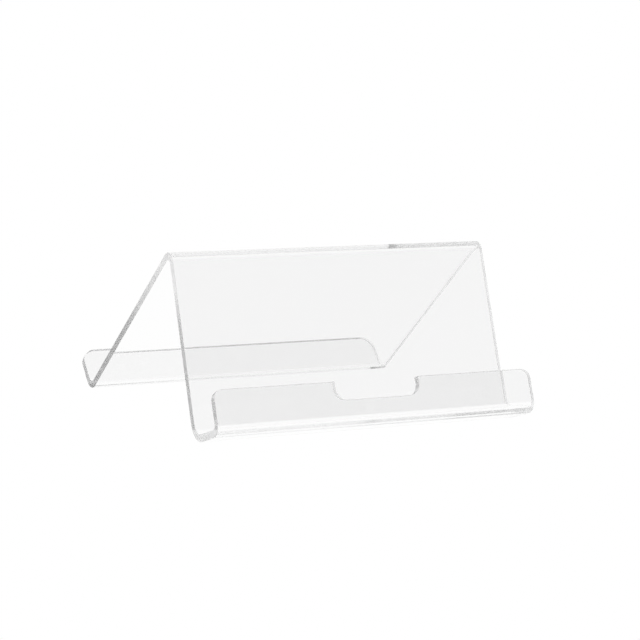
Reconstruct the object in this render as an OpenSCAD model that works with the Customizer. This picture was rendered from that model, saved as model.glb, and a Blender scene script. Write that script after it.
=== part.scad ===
// A desk stand for a phone, folded from one strip of clear acrylic sheet.
// Along its length the strip makes a front lip, a tray, a sloping rest, a ridge,
// a long back slope and a turned-up rear lip. It stands on two bends, one in front and one behind.
// X runs across the stand, +Y points to the rear and +Z points up.
// The origin is on the desk, in the middle of the stand's outline.

/* [Sheet] */
// Width of the stand, across the strip
stand_w = 140; // [90:1:220]
// Thickness of the clear sheet
sheet_t = 3; // [2:0.5:4]

/* [Front lip and tray] */
// Slope of the front lip, in degrees up from level
lip_slope = 67.5; // [60:0.5:80]
// Flat length of the front lip, from its free edge to its bend
lip_flat = 12.5; // [12:0.5:25]
// Slope of the tray, in degrees up from level towards the front
tray_slope = 19.5; // [10:0.5:25]
// Flat length of the tray, between its two bends
tray_flat = 11.5; // [8:0.5:30]

/* [Phone rest] */
// Slope of the rest, in degrees up from level
rest_slope = 68.5; // [60:0.5:75]
// Flat length of the rest, between the front foot and the ridge
rest_flat = 63.5; // [50:0.5:120]

/* [Back] */
// Slope of the back, in degrees down from level towards the rear
back_slope = 41; // [35:0.5:55]
// Slope of the rear lip, in degrees up from level towards the rear
rear_lip_slope = 46.5; // [35:0.5:70]
// Flat length of the rear lip, from its bend to its free edge
rear_lip_flat = 14; // [12:0.5:25]

/* [Bends] */
// Inner radius of the bend between the front lip and the tray
lip_bend_r = 2; // [0.5:0.5:3]
// Inner radius of the front foot, between the tray and the rest
front_foot_r = 5; // [2:0.5:6]
// Inner radius of the ridge, between the rest and the back
ridge_r = 2; // [0.5:0.5:4]
// Inner radius of the rear foot, between the back and the rear lip
rear_foot_r = 3.5; // [2:0.5:5]

/* [Lip outlines] */
// Radius of the front lip's two free corners
lip_corner_r = 4; // [1:0.5:8]
// Radius of the rear lip's two free corners
rear_corner_r = 6; // [1:0.5:10]
// Width of the finger notch in the front lip
notch_w = 37; // [20:1:60]
// Depth of the finger notch
notch_depth = 7.4; // [5:0.1:10]
// Radius of the finger notch's two lower corners
notch_r = 4.5; // [1:0.5:5]

/* [Hidden] */
$fn = 96;

// How far a cutter reaches past what it cuts
clear = 1;
// Width of the strip before its long edges are trimmed
blank_w = stand_w + 2 * clear;
// How far a bend's two skins lie outside those of the flats that it joins, as radii.
// It is far too small to see, and lets each flat and bend run a little into the other.
bite = 0.0005;

// Heights on the sheet's mid-plane, which follow from both feet standing on the desk
rest_top_z = front_foot_r + sheet_t - (front_foot_r + sheet_t / 2) * cos(rest_slope)
    + rest_flat * sin(rest_slope);
ridge_z = rest_top_z - (ridge_r + sheet_t / 2) * cos(rest_slope);
back_top_z = ridge_z + (ridge_r + sheet_t / 2) * cos(back_slope);
back_end_z = rear_foot_r + sheet_t - (rear_foot_r + sheet_t / 2) * cos(back_slope);
back_flat = (back_top_z - back_end_z) / sin(back_slope);

// The strip in order, from the front lip's free edge to the rear lip's free edge.
// A heading is the way the strip runs: 0 is level to the rear and 90 is straight up.
flats = [lip_flat, tray_flat, rest_flat, back_flat, rear_lip_flat];
headings = [lip_slope - 180, -tray_slope, rest_slope, -back_slope, rear_lip_slope];
bend_radii = [lip_bend_r, front_foot_r, ridge_r, rear_foot_r];
LIP = 0;
FRONT_FOOT = 1;
REAR_LIP = 4;

// Unit vectors at a heading: along the strip, and square to it on its upper side
function along(heading) = [0, cos(heading), sin(heading)];
function upward(heading) = [0, -sin(heading), cos(heading)];

// +1 where a bend turns the strip to its upper side, -1 where it turns it to its under side
function turn_side(bend) = sign(headings[bend + 1] - headings[bend]);
function bend_arm(bend) = turn_side(bend) * (bend_radii[bend] + sheet_t / 2);

// Points on the mid-plane, measured from the free edge of the front lip
function flat_start(i) = i == 0 ? [0, 0, 0]
    : bend_centre(i - 1) - bend_arm(i - 1) * upward(headings[i]);
function flat_end(i) = flat_start(i) + flats[i] * along(headings[i]);
function bend_centre(bend) = flat_end(bend) + bend_arm(bend) * upward(headings[bend]);

// Limits of the outline, which place the origin
front_y = bend_centre(LIP)[1] - (lip_bend_r + bite + sheet_t);
rear_y = flat_end(REAR_LIP)[1] + sheet_t / 2 * sin(rear_lip_slope);
floor_z = bend_centre(FRONT_FOOT)[2] - (front_foot_r + bite + sheet_t);
origin = [0, (front_y + rear_y) / 2, floor_z];

// Puts a shape in the frame of flat i: X across, Y along the strip, Z to its upper side
module on_flat(i) {
    translate(flat_start(i) - origin) rotate([headings[i], 0, 0]) children();
}

// How far flat and bend run into each other, so that neither end shows at the skin
function lap(bend) = bend < 0 || bend >= len(bend_radii) ? 0
    : sqrt(2 * (bend_radii[bend] + sheet_t / 2) * bite);
function lap_angle(bend) = atan(lap(bend) / (bend_radii[bend] + sheet_t / 2));

module flat(i) {
    length = lap(i - 1) + flats[i] + lap(i);
    on_flat(i) translate([-blank_w / 2, -lap(i - 1), -sheet_t / 2]) cube([blank_w, length, sheet_t]);
}

module bend(i) {
    turn = headings[i + 1] - headings[i];
    first = turn > 0 ? headings[i] - 90 : headings[i + 1] + 90;
    translate(bend_centre(i) - origin - [blank_w / 2, 0, 0])
        rotate([90, 0, 90])
            rotate([0, 0, first - lap_angle(i)])
                rotate_extrude(angle = abs(turn) + 2 * lap_angle(i))
                    translate([bend_radii[i] + bite, 0]) square([sheet_t, blank_w]);
}

// The folded strip with its two long edges trimmed square, to the stand's width
module folded_strip() {
    reach = 4 * (rest_flat + back_flat);
    intersection() {
        union() {
            for (i = [0:len(flats) - 1]) flat(i);
            for (i = [0:len(bend_radii) - 1]) bend(i);
        }
        cube([stand_w, reach, reach], center = true);
    }
}

// A cutter through the sheet's thickness
module through() {
    translate([0, 0, -sheet_t / 2 - clear]) linear_extrude(sheet_t + 2 * clear) children();
}

// What a rounded corner takes off a square one whose tip is at the origin
module corner_waste(r) {
    difference() {
        translate([-clear, -clear]) square(r + clear);
        translate([r, r]) circle(r);
    }
}

module both_corners(r) {
    for (side = [0, 1]) mirror([side, 0]) translate([-stand_w / 2, 0]) corner_waste(r);
}

// The finger notch, open at the lip's free edge: square shoulders and round lower corners
module notch() {
    translate([-notch_w / 2, -clear]) square([notch_w, notch_depth - notch_r + clear]);
    translate([-notch_w / 2 + notch_r, -clear]) square([notch_w - 2 * notch_r, notch_depth + clear]);
    for (side = [-1, 1]) translate([side * (notch_w / 2 - notch_r), notch_depth - notch_r]) circle(notch_r);
}

// The whole stand: one strip of sheet, folded at four bends
module bent_sheet() {
    color([0.86, 0.90, 0.92, 0.55]) difference() {
        folded_strip();
        on_flat(LIP) through() {
            both_corners(lip_corner_r);
            notch();
        }
        on_flat(REAR_LIP) translate([0, rear_lip_flat, 0]) mirror([0, 1, 0]) through()
            both_corners(rear_corner_r);
    }
}

bent_sheet();
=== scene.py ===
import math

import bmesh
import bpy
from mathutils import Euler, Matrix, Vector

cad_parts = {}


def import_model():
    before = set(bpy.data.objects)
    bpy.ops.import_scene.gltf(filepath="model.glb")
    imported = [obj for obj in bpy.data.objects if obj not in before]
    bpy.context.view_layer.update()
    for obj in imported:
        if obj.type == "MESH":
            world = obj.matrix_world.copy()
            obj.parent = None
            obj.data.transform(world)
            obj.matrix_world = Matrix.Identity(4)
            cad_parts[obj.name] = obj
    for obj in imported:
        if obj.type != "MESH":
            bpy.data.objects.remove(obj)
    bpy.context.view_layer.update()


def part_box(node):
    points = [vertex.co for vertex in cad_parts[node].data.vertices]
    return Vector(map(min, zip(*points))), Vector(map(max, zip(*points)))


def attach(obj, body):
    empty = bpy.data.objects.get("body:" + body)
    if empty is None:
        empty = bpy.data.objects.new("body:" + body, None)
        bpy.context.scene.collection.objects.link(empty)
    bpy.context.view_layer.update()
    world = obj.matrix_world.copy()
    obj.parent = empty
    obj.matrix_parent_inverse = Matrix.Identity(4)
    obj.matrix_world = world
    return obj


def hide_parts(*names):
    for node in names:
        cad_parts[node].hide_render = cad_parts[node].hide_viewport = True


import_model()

# A desk stand for a phone: one strip of clear acrylic sheet, folded at four straight bends.
# Metres throughout. X runs across the stand, +Y points to the rear and +Z points up, as in the frame.
# The strip is drawn flat, as the blank that is cut from the sheet, and then every point is folded.
# On the blank, x runs across the strip, s along it from the front lip's free edge, and h through
# the sheet from its mid-plane, positive on the side that faces up.

# ---------------------------------------------------------------- the strip

# Limits of the folded strip, as the frame has them
SHEET_LOW, SHEET_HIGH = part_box("bent_sheet")
STAND_W = SHEET_HIGH[0] - SHEET_LOW[0]
SHEET_T = 0.003

# The flats in order, with the way each one runs: 0 is level to the rear and 90 is straight up
LIP_FLAT = 0.0125
TRAY_FLAT = 0.0115
REST_FLAT = 0.0635
REAR_LIP_FLAT = 0.014
LIP_HEADING = -112.5
TRAY_HEADING = -19.5
REST_HEADING = 68.5
BACK_HEADING = -41.0
REAR_LIP_HEADING = 46.5

# Inner radii of the bends between them
LIP_BEND_R = 0.002
FRONT_FOOT_R = 0.005
RIDGE_R = 0.002
REAR_FOOT_R = 0.0035

# Outline of the blank
LIP_CORNER_R = 0.004
REAR_CORNER_R = 0.006
NOTCH_W = 0.037
NOTCH_DEPTH = 0.0074
NOTCH_R = 0.0045
SHOULDER_R = 0.0003

# Radius of the arris between a face and a cut edge, which is eased on the rear lip's free edge
ARRIS_R = 0.00012
REAR_ARRIS_R = 0.0006
ARRIS_STEPS = 4

# Spacing of the cuts across and along the flats, and the angle between cuts in a bend
GRID_STEP = 0.005
BEND_STEP = 3.0
# How near a point lies to a cut before it counts as being on it
CUT_TOLERANCE = 1e-7

# Angle between points on the outline's arcs, and on the notch's two tiny shoulders
OUTLINE_STEP = 7.5
SHOULDER_STEP = 30.0
# A side of the outline is a straight one if it is this many times as long as the side beside it
STRAIGHT_RATIO = 4
# The rim belongs to the rear lip's free edge where its normal points rearwards by more than this
REAR_FACING = 0.5

# Material slots: the sheet's faces, its cut edges, and the rear lip's free edge
FACE_SLOT = 0
CUT_SLOT = 1
REAR_SLOT = 2


def back_flat_length():
    """Length of the back's flat, which follows from both feet standing on the floor."""
    half_t = SHEET_T / 2
    rest = math.radians(REST_HEADING)
    back = math.radians(-BACK_HEADING)
    rest_top = FRONT_FOOT_R + SHEET_T - (FRONT_FOOT_R + half_t) * math.cos(rest)
    rest_top += REST_FLAT * math.sin(rest)
    ridge_centre = rest_top - (RIDGE_R + half_t) * math.cos(rest)
    back_top = ridge_centre + (RIDGE_R + half_t) * math.cos(back)
    back_end = REAR_FOOT_R + SHEET_T - (REAR_FOOT_R + half_t) * math.cos(back)
    return (back_top - back_end) / math.sin(back)


FLATS = (LIP_FLAT, TRAY_FLAT, REST_FLAT, back_flat_length(), REAR_LIP_FLAT)
HEADINGS = tuple(
    math.radians(a)
    for a in (LIP_HEADING, TRAY_HEADING, REST_HEADING, BACK_HEADING, REAR_LIP_HEADING)
)
BEND_RADII = (LIP_BEND_R, FRONT_FOOT_R, RIDGE_R, REAR_FOOT_R)


def along(heading):
    """Unit vector (y, z) along the strip."""
    return Vector((math.cos(heading), math.sin(heading)))


def upward(heading):
    """Unit vector (y, z) square to the strip, on its upper side."""
    return Vector((-math.sin(heading), math.cos(heading)))


def fold_sections():
    """The strip as a list of sections: where each starts, its heading and its curvature.

    Each is (s0, s1, point, heading, curvature), on the mid-plane. Curvature is 0 on a flat.
    """
    sections = []
    s = 0.0
    point = Vector((0.0, 0.0))
    for i, length in enumerate(FLATS):
        heading = HEADINGS[i]
        sections.append((s, s + length, point.copy(), heading, 0.0))
        s += length
        point = point + length * along(heading)
        if i == len(BEND_RADII):
            break
        turn = HEADINGS[i + 1] - heading
        side = math.copysign(1.0, turn)
        arm = side * (BEND_RADII[i] + SHEET_T / 2)
        sections.append((s, s + abs(arm * turn), point.copy(), heading, 1.0 / arm))
        centre = point + arm * upward(heading)
        s += abs(arm * turn)
        point = centre - arm * upward(HEADINGS[i + 1])
    return sections


SECTIONS = fold_sections()
STRIP_LENGTH = SECTIONS[-1][1]


def fold(s, h):
    """Place (y, z) and heading of the blank's point (s, h), before the strip is put on the floor."""
    section = SECTIONS[-1]
    for candidate in SECTIONS:
        if s <= candidate[1]:
            section = candidate
            break
    s0, _, point, heading, curvature = section
    if curvature == 0.0:
        return point + (s - s0) * along(heading) + h * upward(heading), heading
    centre = point + upward(heading) / curvature
    here = heading + (s - s0) * curvature
    return centre - (1.0 / curvature - h) * upward(here), here


# ---------------------------------------------------------------- the blank


def arc(cx, cy, r, start, end, step=OUTLINE_STEP):
    """Points (x, s) of an arc, from one angle to another, both ends included."""
    count = max(2, math.ceil(abs(end - start) / step))
    points = []
    for k in range(count + 1):
        a = math.radians(start + (end - start) * k / count)
        points.append(Vector((cx + r * math.cos(a), cy + r * math.sin(a))))
    return points


def blank_outline():
    """The blank's outline (x, s), anticlockwise seen from its upper side."""
    half = STAND_W / 2
    notch = NOTCH_W / 2
    end = STRIP_LENGTH
    points = []
    points += arc(-notch - SHOULDER_R, SHOULDER_R, SHOULDER_R, -90, 0, SHOULDER_STEP)
    points += arc(-notch + NOTCH_R, NOTCH_DEPTH - NOTCH_R, NOTCH_R, 180, 90)
    points += arc(notch - NOTCH_R, NOTCH_DEPTH - NOTCH_R, NOTCH_R, 90, 0)
    points += arc(notch + SHOULDER_R, SHOULDER_R, SHOULDER_R, 180, 270, SHOULDER_STEP)
    points += arc(half - LIP_CORNER_R, LIP_CORNER_R, LIP_CORNER_R, -90, 0)
    points += arc(half - REAR_CORNER_R, end - REAR_CORNER_R, REAR_CORNER_R, 0, 90)
    points += arc(-half + REAR_CORNER_R, end - REAR_CORNER_R, REAR_CORNER_R, 90, 180)
    points += arc(-half + LIP_CORNER_R, LIP_CORNER_R, LIP_CORNER_R, 180, 270)
    return points


def outward_normals(points):
    """Outward unit normal of a smooth outline at each of its points."""
    normals = []
    count = len(points)
    for i in range(count):
        before = (points[i] - points[i - 1]).normalized()
        after = (points[(i + 1) % count] - points[i]).normalized()
        length_before = (points[i] - points[i - 1]).length
        length_after = (points[(i + 1) % count] - points[i]).length
        # An arc's end takes the direction of the straight side that it runs into
        if length_before > STRAIGHT_RATIO * length_after:
            tangent = before
        elif length_after > STRAIGHT_RATIO * length_before:
            tangent = after
        else:
            tangent = (before + after).normalized()
        normals.append(Vector((tangent.y, -tangent.x)))
    return normals


def rim_rows():
    """The rim's section as (side, slope) rows, from the upper face round to the lower face.

    Side is +1 on the upper arris and -1 on the lower one. Slope is 0 on the upper face.
    """
    upper = [(1, math.radians(90.0 * k / ARRIS_STEPS)) for k in range(ARRIS_STEPS + 1)]
    lower = [(-1, math.pi - slope) for _, slope in reversed(upper)]
    return upper + lower


def rim_point(point, out, side, slope):
    """Place of one row of the rim at an outline point. The arris is wider where it faces the rear."""
    radius = ARRIS_R + (REAR_ARRIS_R - ARRIS_R) * max(out.y, 0.0)
    inset = radius * (1 - math.sin(slope))
    height = side * (SHEET_T / 2 - radius * (1 - abs(math.cos(slope))))
    return point.x - inset * out.x, point.y - inset * out.y, height


def blank_mesh():
    """The flat blank as a bmesh, with its exact normals in a layer, cut into a grid."""
    bm = bmesh.new()
    layer = bm.verts.layers.float_vector.new("blank_normal")
    outline = blank_outline()
    normals = outward_normals(outline)
    rings = []
    for side, slope in rim_rows():
        ring = []
        for point, out in zip(outline, normals):
            vert = bm.verts.new(rim_point(point, out, side, slope))
            level = math.sin(slope)
            vert[layer] = Vector((level * out.x, level * out.y, math.cos(slope)))
            ring.append(vert)
        rings.append(ring)
    count = len(outline)
    top = bm.faces.new(rings[0])
    bottom = bm.faces.new(list(reversed(rings[-1])))
    top.material_index = FACE_SLOT
    bottom.material_index = FACE_SLOT
    for upper, lower in zip(rings, rings[1:]):
        for i in range(count):
            j = (i + 1) % count
            face = bm.faces.new((upper[j], upper[i], lower[i], lower[j]))
            rear = max(normals[i].y, normals[j].y) > REAR_FACING
            face.material_index = REAR_SLOT if rear else CUT_SLOT
    cut_blank(bm)
    return bm, layer


def stations():
    """Where the blank is cut across: along the flats, and finely round each bend."""
    cuts = []
    for s0, s1, _, _, curvature in SECTIONS:
        step = GRID_STEP
        if curvature != 0.0:
            step = math.radians(BEND_STEP) / abs(curvature)
        count = max(1, math.ceil((s1 - s0) / step))
        cuts += [s0 + (s1 - s0) * k / count for k in range(count)]
    return cuts[1:]


def cut(bm, place, normal):
    """Cuts every face that a plane crosses, and keeps both sides."""
    geom = bm.verts[:] + bm.edges[:] + bm.faces[:]
    bmesh.ops.bisect_plane(bm, geom=geom, plane_co=place, plane_no=normal, dist=CUT_TOLERANCE)


def cut_blank(bm):
    """Cuts the blank across at every station, and along its length at even steps."""
    for s in stations():
        cut(bm, (0, s, 0), (0, 1, 0))
    columns = round(STAND_W / GRID_STEP)
    for k in range(1, columns):
        cut(bm, (-STAND_W / 2 + STAND_W * k / columns, 0, 0), (1, 0, 0))


# ---------------------------------------------------------------- the folded piece


def inside_frame(point):
    """The point, held inside the frame's box, whose faceted bends fall just short of true ones."""
    return Vector(min(max(c, low), high) for c, low, high in zip(point, SHEET_LOW, SHEET_HIGH))


def bent_sheet():
    """The whole stand, folded from its blank and set on the floor where the frame has it."""
    bm, layer = blank_mesh()
    normals = []
    for vert in bm.verts:
        x, s, h = vert.co
        (y, z), heading = fold(s, h)
        out = vert[layer]
        turned = out.y * along(heading) + out.z * upward(heading)
        vert.co = (x, y, z)
        normals.append(Vector((out.x, turned.x, turned.y)).normalized())
    low_y = min(v.co.y for v in bm.verts)
    low_z = min(v.co.z for v in bm.verts)
    shift = Vector((0, SHEET_LOW[1] - low_y, SHEET_LOW[2] - low_z))
    for vert in bm.verts:
        vert.co = inside_frame(vert.co + shift)
    mesh = bpy.data.meshes.new("bent_sheet_visual")
    bm.to_mesh(mesh)
    bm.free()
    for polygon in mesh.polygons:
        polygon.use_smooth = True
    mesh.normals_split_custom_set_from_vertices(normals)
    mesh.materials.append(polished_face_material())
    mesh.materials.append(cut_edge_material("clear_acrylic_cut", CUT_GLOSS, CUT_SATIN))
    mesh.materials.append(cut_edge_material("clear_acrylic_rear", REAR_GLOSS, REAR_SATIN))
    piece = bpy.data.objects.new("bent_sheet_visual", mesh)
    bpy.context.collection.objects.link(piece)
    return piece


# ---------------------------------------------------------------- materials

ACRYLIC_IOR = 1.491
ACRYLIC_TINT = (0.99, 0.99, 0.99, 1.0)
# Absorption per metre inside the sheet, which greys the cut edges and long internal paths
ACRYLIC_ABSORPTION = 0.25

# Faces: scale and detail of the smears, the noise levels between which they appear, and their
# roughness at most
SMEAR_SCALE = 45.0
SMEAR_DETAIL = 4.0
SMEAR_START = 0.45
SMEAR_FULL = 0.8
SMEAR_ROUGHNESS = 0.02
# Faces: scale, detail and depth of the ripple
RIPPLE_SCALE = 35.0
RIPPLE_DETAIL = 1.0
RIPPLE_DEPTH = 0.00002

# Roughness where an edge is polished best and least: on the cut edges, and on the rear lip's free edge
CUT_GLOSS = 0.25
CUT_SATIN = 0.35
REAR_GLOSS = 0.0
REAR_SATIN = 0.08
# Edges: scale and detail of the polish's patches, and the noise levels between which it fades
PATCH_SCALE = 150.0
PATCH_DETAIL = 3.0
PATCH_START = 0.35
PATCH_FULL = 0.7
# Edges: scale, detail and depth of the saw marks
MARK_SCALE = 900.0
MARK_DETAIL = 2.0
MARK_DEPTH = 0.000002


class Nodes:
    """Short names for building a material's node tree."""

    def __init__(self, material):
        self.tree = material.node_tree
        self.tree.nodes.clear()

    def add(self, kind, **settings):
        node = self.tree.nodes.new(kind)
        for name, value in settings.items():
            setattr(node, name, value)
        return node

    def link(self, source, target):
        self.tree.links.new(source, target)

    def coordinates(self):
        return self.add("ShaderNodeTexCoord").outputs["Object"]

    def noise(self, vector, scale, detail):
        node = self.add("ShaderNodeTexNoise")
        node.inputs["Scale"].default_value = scale
        node.inputs["Detail"].default_value = detail
        self.link(vector, node.inputs["Vector"])
        return node.outputs["Fac"]

    def remap(self, value, low, high, to_low, to_high):
        node = self.add("ShaderNodeMapRange", interpolation_type="SMOOTHSTEP")
        node.inputs["From Min"].default_value = low
        node.inputs["From Max"].default_value = high
        node.inputs["To Min"].default_value = to_low
        node.inputs["To Max"].default_value = to_high
        self.link(value, node.inputs["Value"])
        return node.outputs["Result"]

    def bump(self, height, distance):
        node = self.add("ShaderNodeBump")
        node.inputs["Distance"].default_value = distance
        node.inputs["Strength"].default_value = 1.0
        self.link(height, node.inputs["Height"])
        return node.outputs["Normal"]


def clear_material(name):
    """A clear acrylic shader with its constants set, and its nodes."""
    material = bpy.data.materials.new(name)
    material.use_nodes = True
    nodes = Nodes(material)
    shader = nodes.add("ShaderNodeBsdfPrincipled")
    shader.inputs["Base Color"].default_value = ACRYLIC_TINT
    shader.inputs["Transmission Weight"].default_value = 1.0
    shader.inputs["IOR"].default_value = ACRYLIC_IOR
    depth = nodes.add("ShaderNodeVolumeAbsorption")
    depth.inputs["Color"].default_value = (0.0, 0.0, 0.0, 1.0)
    depth.inputs["Density"].default_value = ACRYLIC_ABSORPTION
    output = nodes.add("ShaderNodeOutputMaterial")
    nodes.link(shader.outputs["BSDF"], output.inputs["Surface"])
    nodes.link(depth.outputs["Volume"], output.inputs["Volume"])
    return material, nodes, shader


def polished_face_material():
    """The sheet's moulded faces: nearly perfect gloss, with a faint ripple and a trace of handling."""
    material, nodes, shader = clear_material("clear_acrylic_face")
    position = nodes.coordinates()
    smears = nodes.noise(position, SMEAR_SCALE, SMEAR_DETAIL)
    roughness = nodes.remap(smears, SMEAR_START, SMEAR_FULL, 0.0, SMEAR_ROUGHNESS)
    nodes.link(roughness, shader.inputs["Roughness"])
    ripple = nodes.noise(position, RIPPLE_SCALE, RIPPLE_DETAIL)
    nodes.link(nodes.bump(ripple, RIPPLE_DEPTH), shader.inputs["Normal"])
    return material


def cut_edge_material(name, gloss, satin):
    """A cut edge: polished over faint saw marks, better in some places than in others."""
    material, nodes, shader = clear_material(name)
    position = nodes.coordinates()
    patches = nodes.noise(position, PATCH_SCALE, PATCH_DETAIL)
    roughness = nodes.remap(patches, PATCH_START, PATCH_FULL, gloss, satin)
    nodes.link(roughness, shader.inputs["Roughness"])
    marks = nodes.noise(position, MARK_SCALE, MARK_DETAIL)
    nodes.link(nodes.bump(marks, MARK_DEPTH), shader.inputs["Normal"])
    return material


# ---------------------------------------------------------------- studio


FLOOR_RADIUS = 20.0
FLOOR_SEGMENTS = 96
# How far the floor lies under the stand's feet, so that the two surfaces don't meet
FLOOR_GAP = 0.0002
FLOOR_WHITE = 1.0

# Where the light comes from, in degrees clockwise from the rear, seen from above
BRIGHT_AZIMUTH = 10.0
SKY_BRIGHT = 1.25
SKY_DIM = 0.08
# How far a direction points to the light where the sky leaves its dimmest and reaches its brightest
SKY_START = -0.35
SKY_FULL = 0.45


def floor():
    """A large plain floor."""
    bm = bmesh.new()
    bmesh.ops.create_circle(bm, cap_ends=True, segments=FLOOR_SEGMENTS, radius=FLOOR_RADIUS)
    mesh = bpy.data.meshes.new("studio_floor")
    bm.to_mesh(mesh)
    bm.free()
    mesh.materials.append(floor_material())
    stage = bpy.data.objects.new("studio_floor", mesh)
    stage.location.z = -FLOOR_GAP
    bpy.context.collection.objects.link(stage)


def floor_material():
    """Plain glowing white, the same all over and from everywhere."""
    material = bpy.data.materials.new("studio_floor")
    material.use_nodes = True
    nodes = Nodes(material)
    glow = nodes.add("ShaderNodeEmission")
    glow.inputs["Strength"].default_value = FLOOR_WHITE
    output = nodes.add("ShaderNodeOutputMaterial")
    nodes.link(glow.outputs["Emission"], output.inputs["Surface"])
    return material


def world():
    """Soft light all round: brightest behind the stand and dimmest in front of it."""
    sky = bpy.data.worlds.new("studio")
    bpy.context.scene.world = sky
    sky.use_nodes = True
    nodes = Nodes(sky)
    direction = nodes.add("ShaderNodeTexCoord").outputs["Generated"]
    toward = nodes.add("ShaderNodeVectorMath", operation="DOT_PRODUCT")
    azimuth = math.radians(BRIGHT_AZIMUTH)
    toward.inputs[1].default_value = (math.sin(azimuth), math.cos(azimuth), 0.0)
    nodes.link(direction, toward.inputs[0])
    level = nodes.remap(toward.outputs["Value"], SKY_START, SKY_FULL, SKY_DIM, SKY_BRIGHT)
    background = nodes.add("ShaderNodeBackground")
    nodes.link(level, background.inputs["Strength"])
    output = nodes.add("ShaderNodeOutputWorld")
    nodes.link(background.outputs["Background"], output.inputs["Surface"])


# ---------------------------------------------------------------- camera

CAMERA_AIM = (0.00745, -0.00259, 0.03493)
CAMERA_DISTANCE = 0.93316
CAMERA_YAW = 27.59
CAMERA_PITCH = 9.44
CAMERA_ROLL = 1.80
CAMERA_LENS = 126.64
CAMERA_SENSOR = 36.0
CAMERA_NEAR = 0.05
CAMERA_FAR = 100.0

# A ray can run along the inside of the sheet from end to end, so it is followed this far
MAX_BOUNCES = 160


def camera():
    """The photograph's view: from the front and to the left, a little above the stand."""
    data = bpy.data.cameras.new("camera")
    data.lens = CAMERA_LENS
    data.sensor_width = CAMERA_SENSOR
    data.clip_start = CAMERA_NEAR
    data.clip_end = CAMERA_FAR
    view = bpy.data.objects.new("camera", data)
    turn = Euler((math.radians(90 - CAMERA_PITCH), 0, math.radians(-CAMERA_YAW)), "XYZ").to_matrix()
    roll = Matrix.Rotation(math.radians(CAMERA_ROLL), 3, "Z")
    rotation = turn @ roll
    forward = rotation @ Vector((0, 0, -1))
    location = Vector(CAMERA_AIM) - CAMERA_DISTANCE * forward
    view.matrix_world = Matrix.Translation(location) @ rotation.to_4x4()
    bpy.context.collection.objects.link(view)
    bpy.context.scene.camera = view


def render_settings():
    """Straight colours, and enough bounces for light to pass through several walls of the sheet."""
    scene = bpy.context.scene
    scene.view_settings.view_transform = "Standard"
    scene.cycles.max_bounces = MAX_BOUNCES
    scene.cycles.transmission_bounces = MAX_BOUNCES
    scene.cycles.glossy_bounces = MAX_BOUNCES
    scene.cycles.caustics_refractive = True
    scene.cycles.caustics_reflective = True


stand = bent_sheet()
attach(stand, "root")
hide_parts("bent_sheet")
floor()
world()
camera()
render_settings()
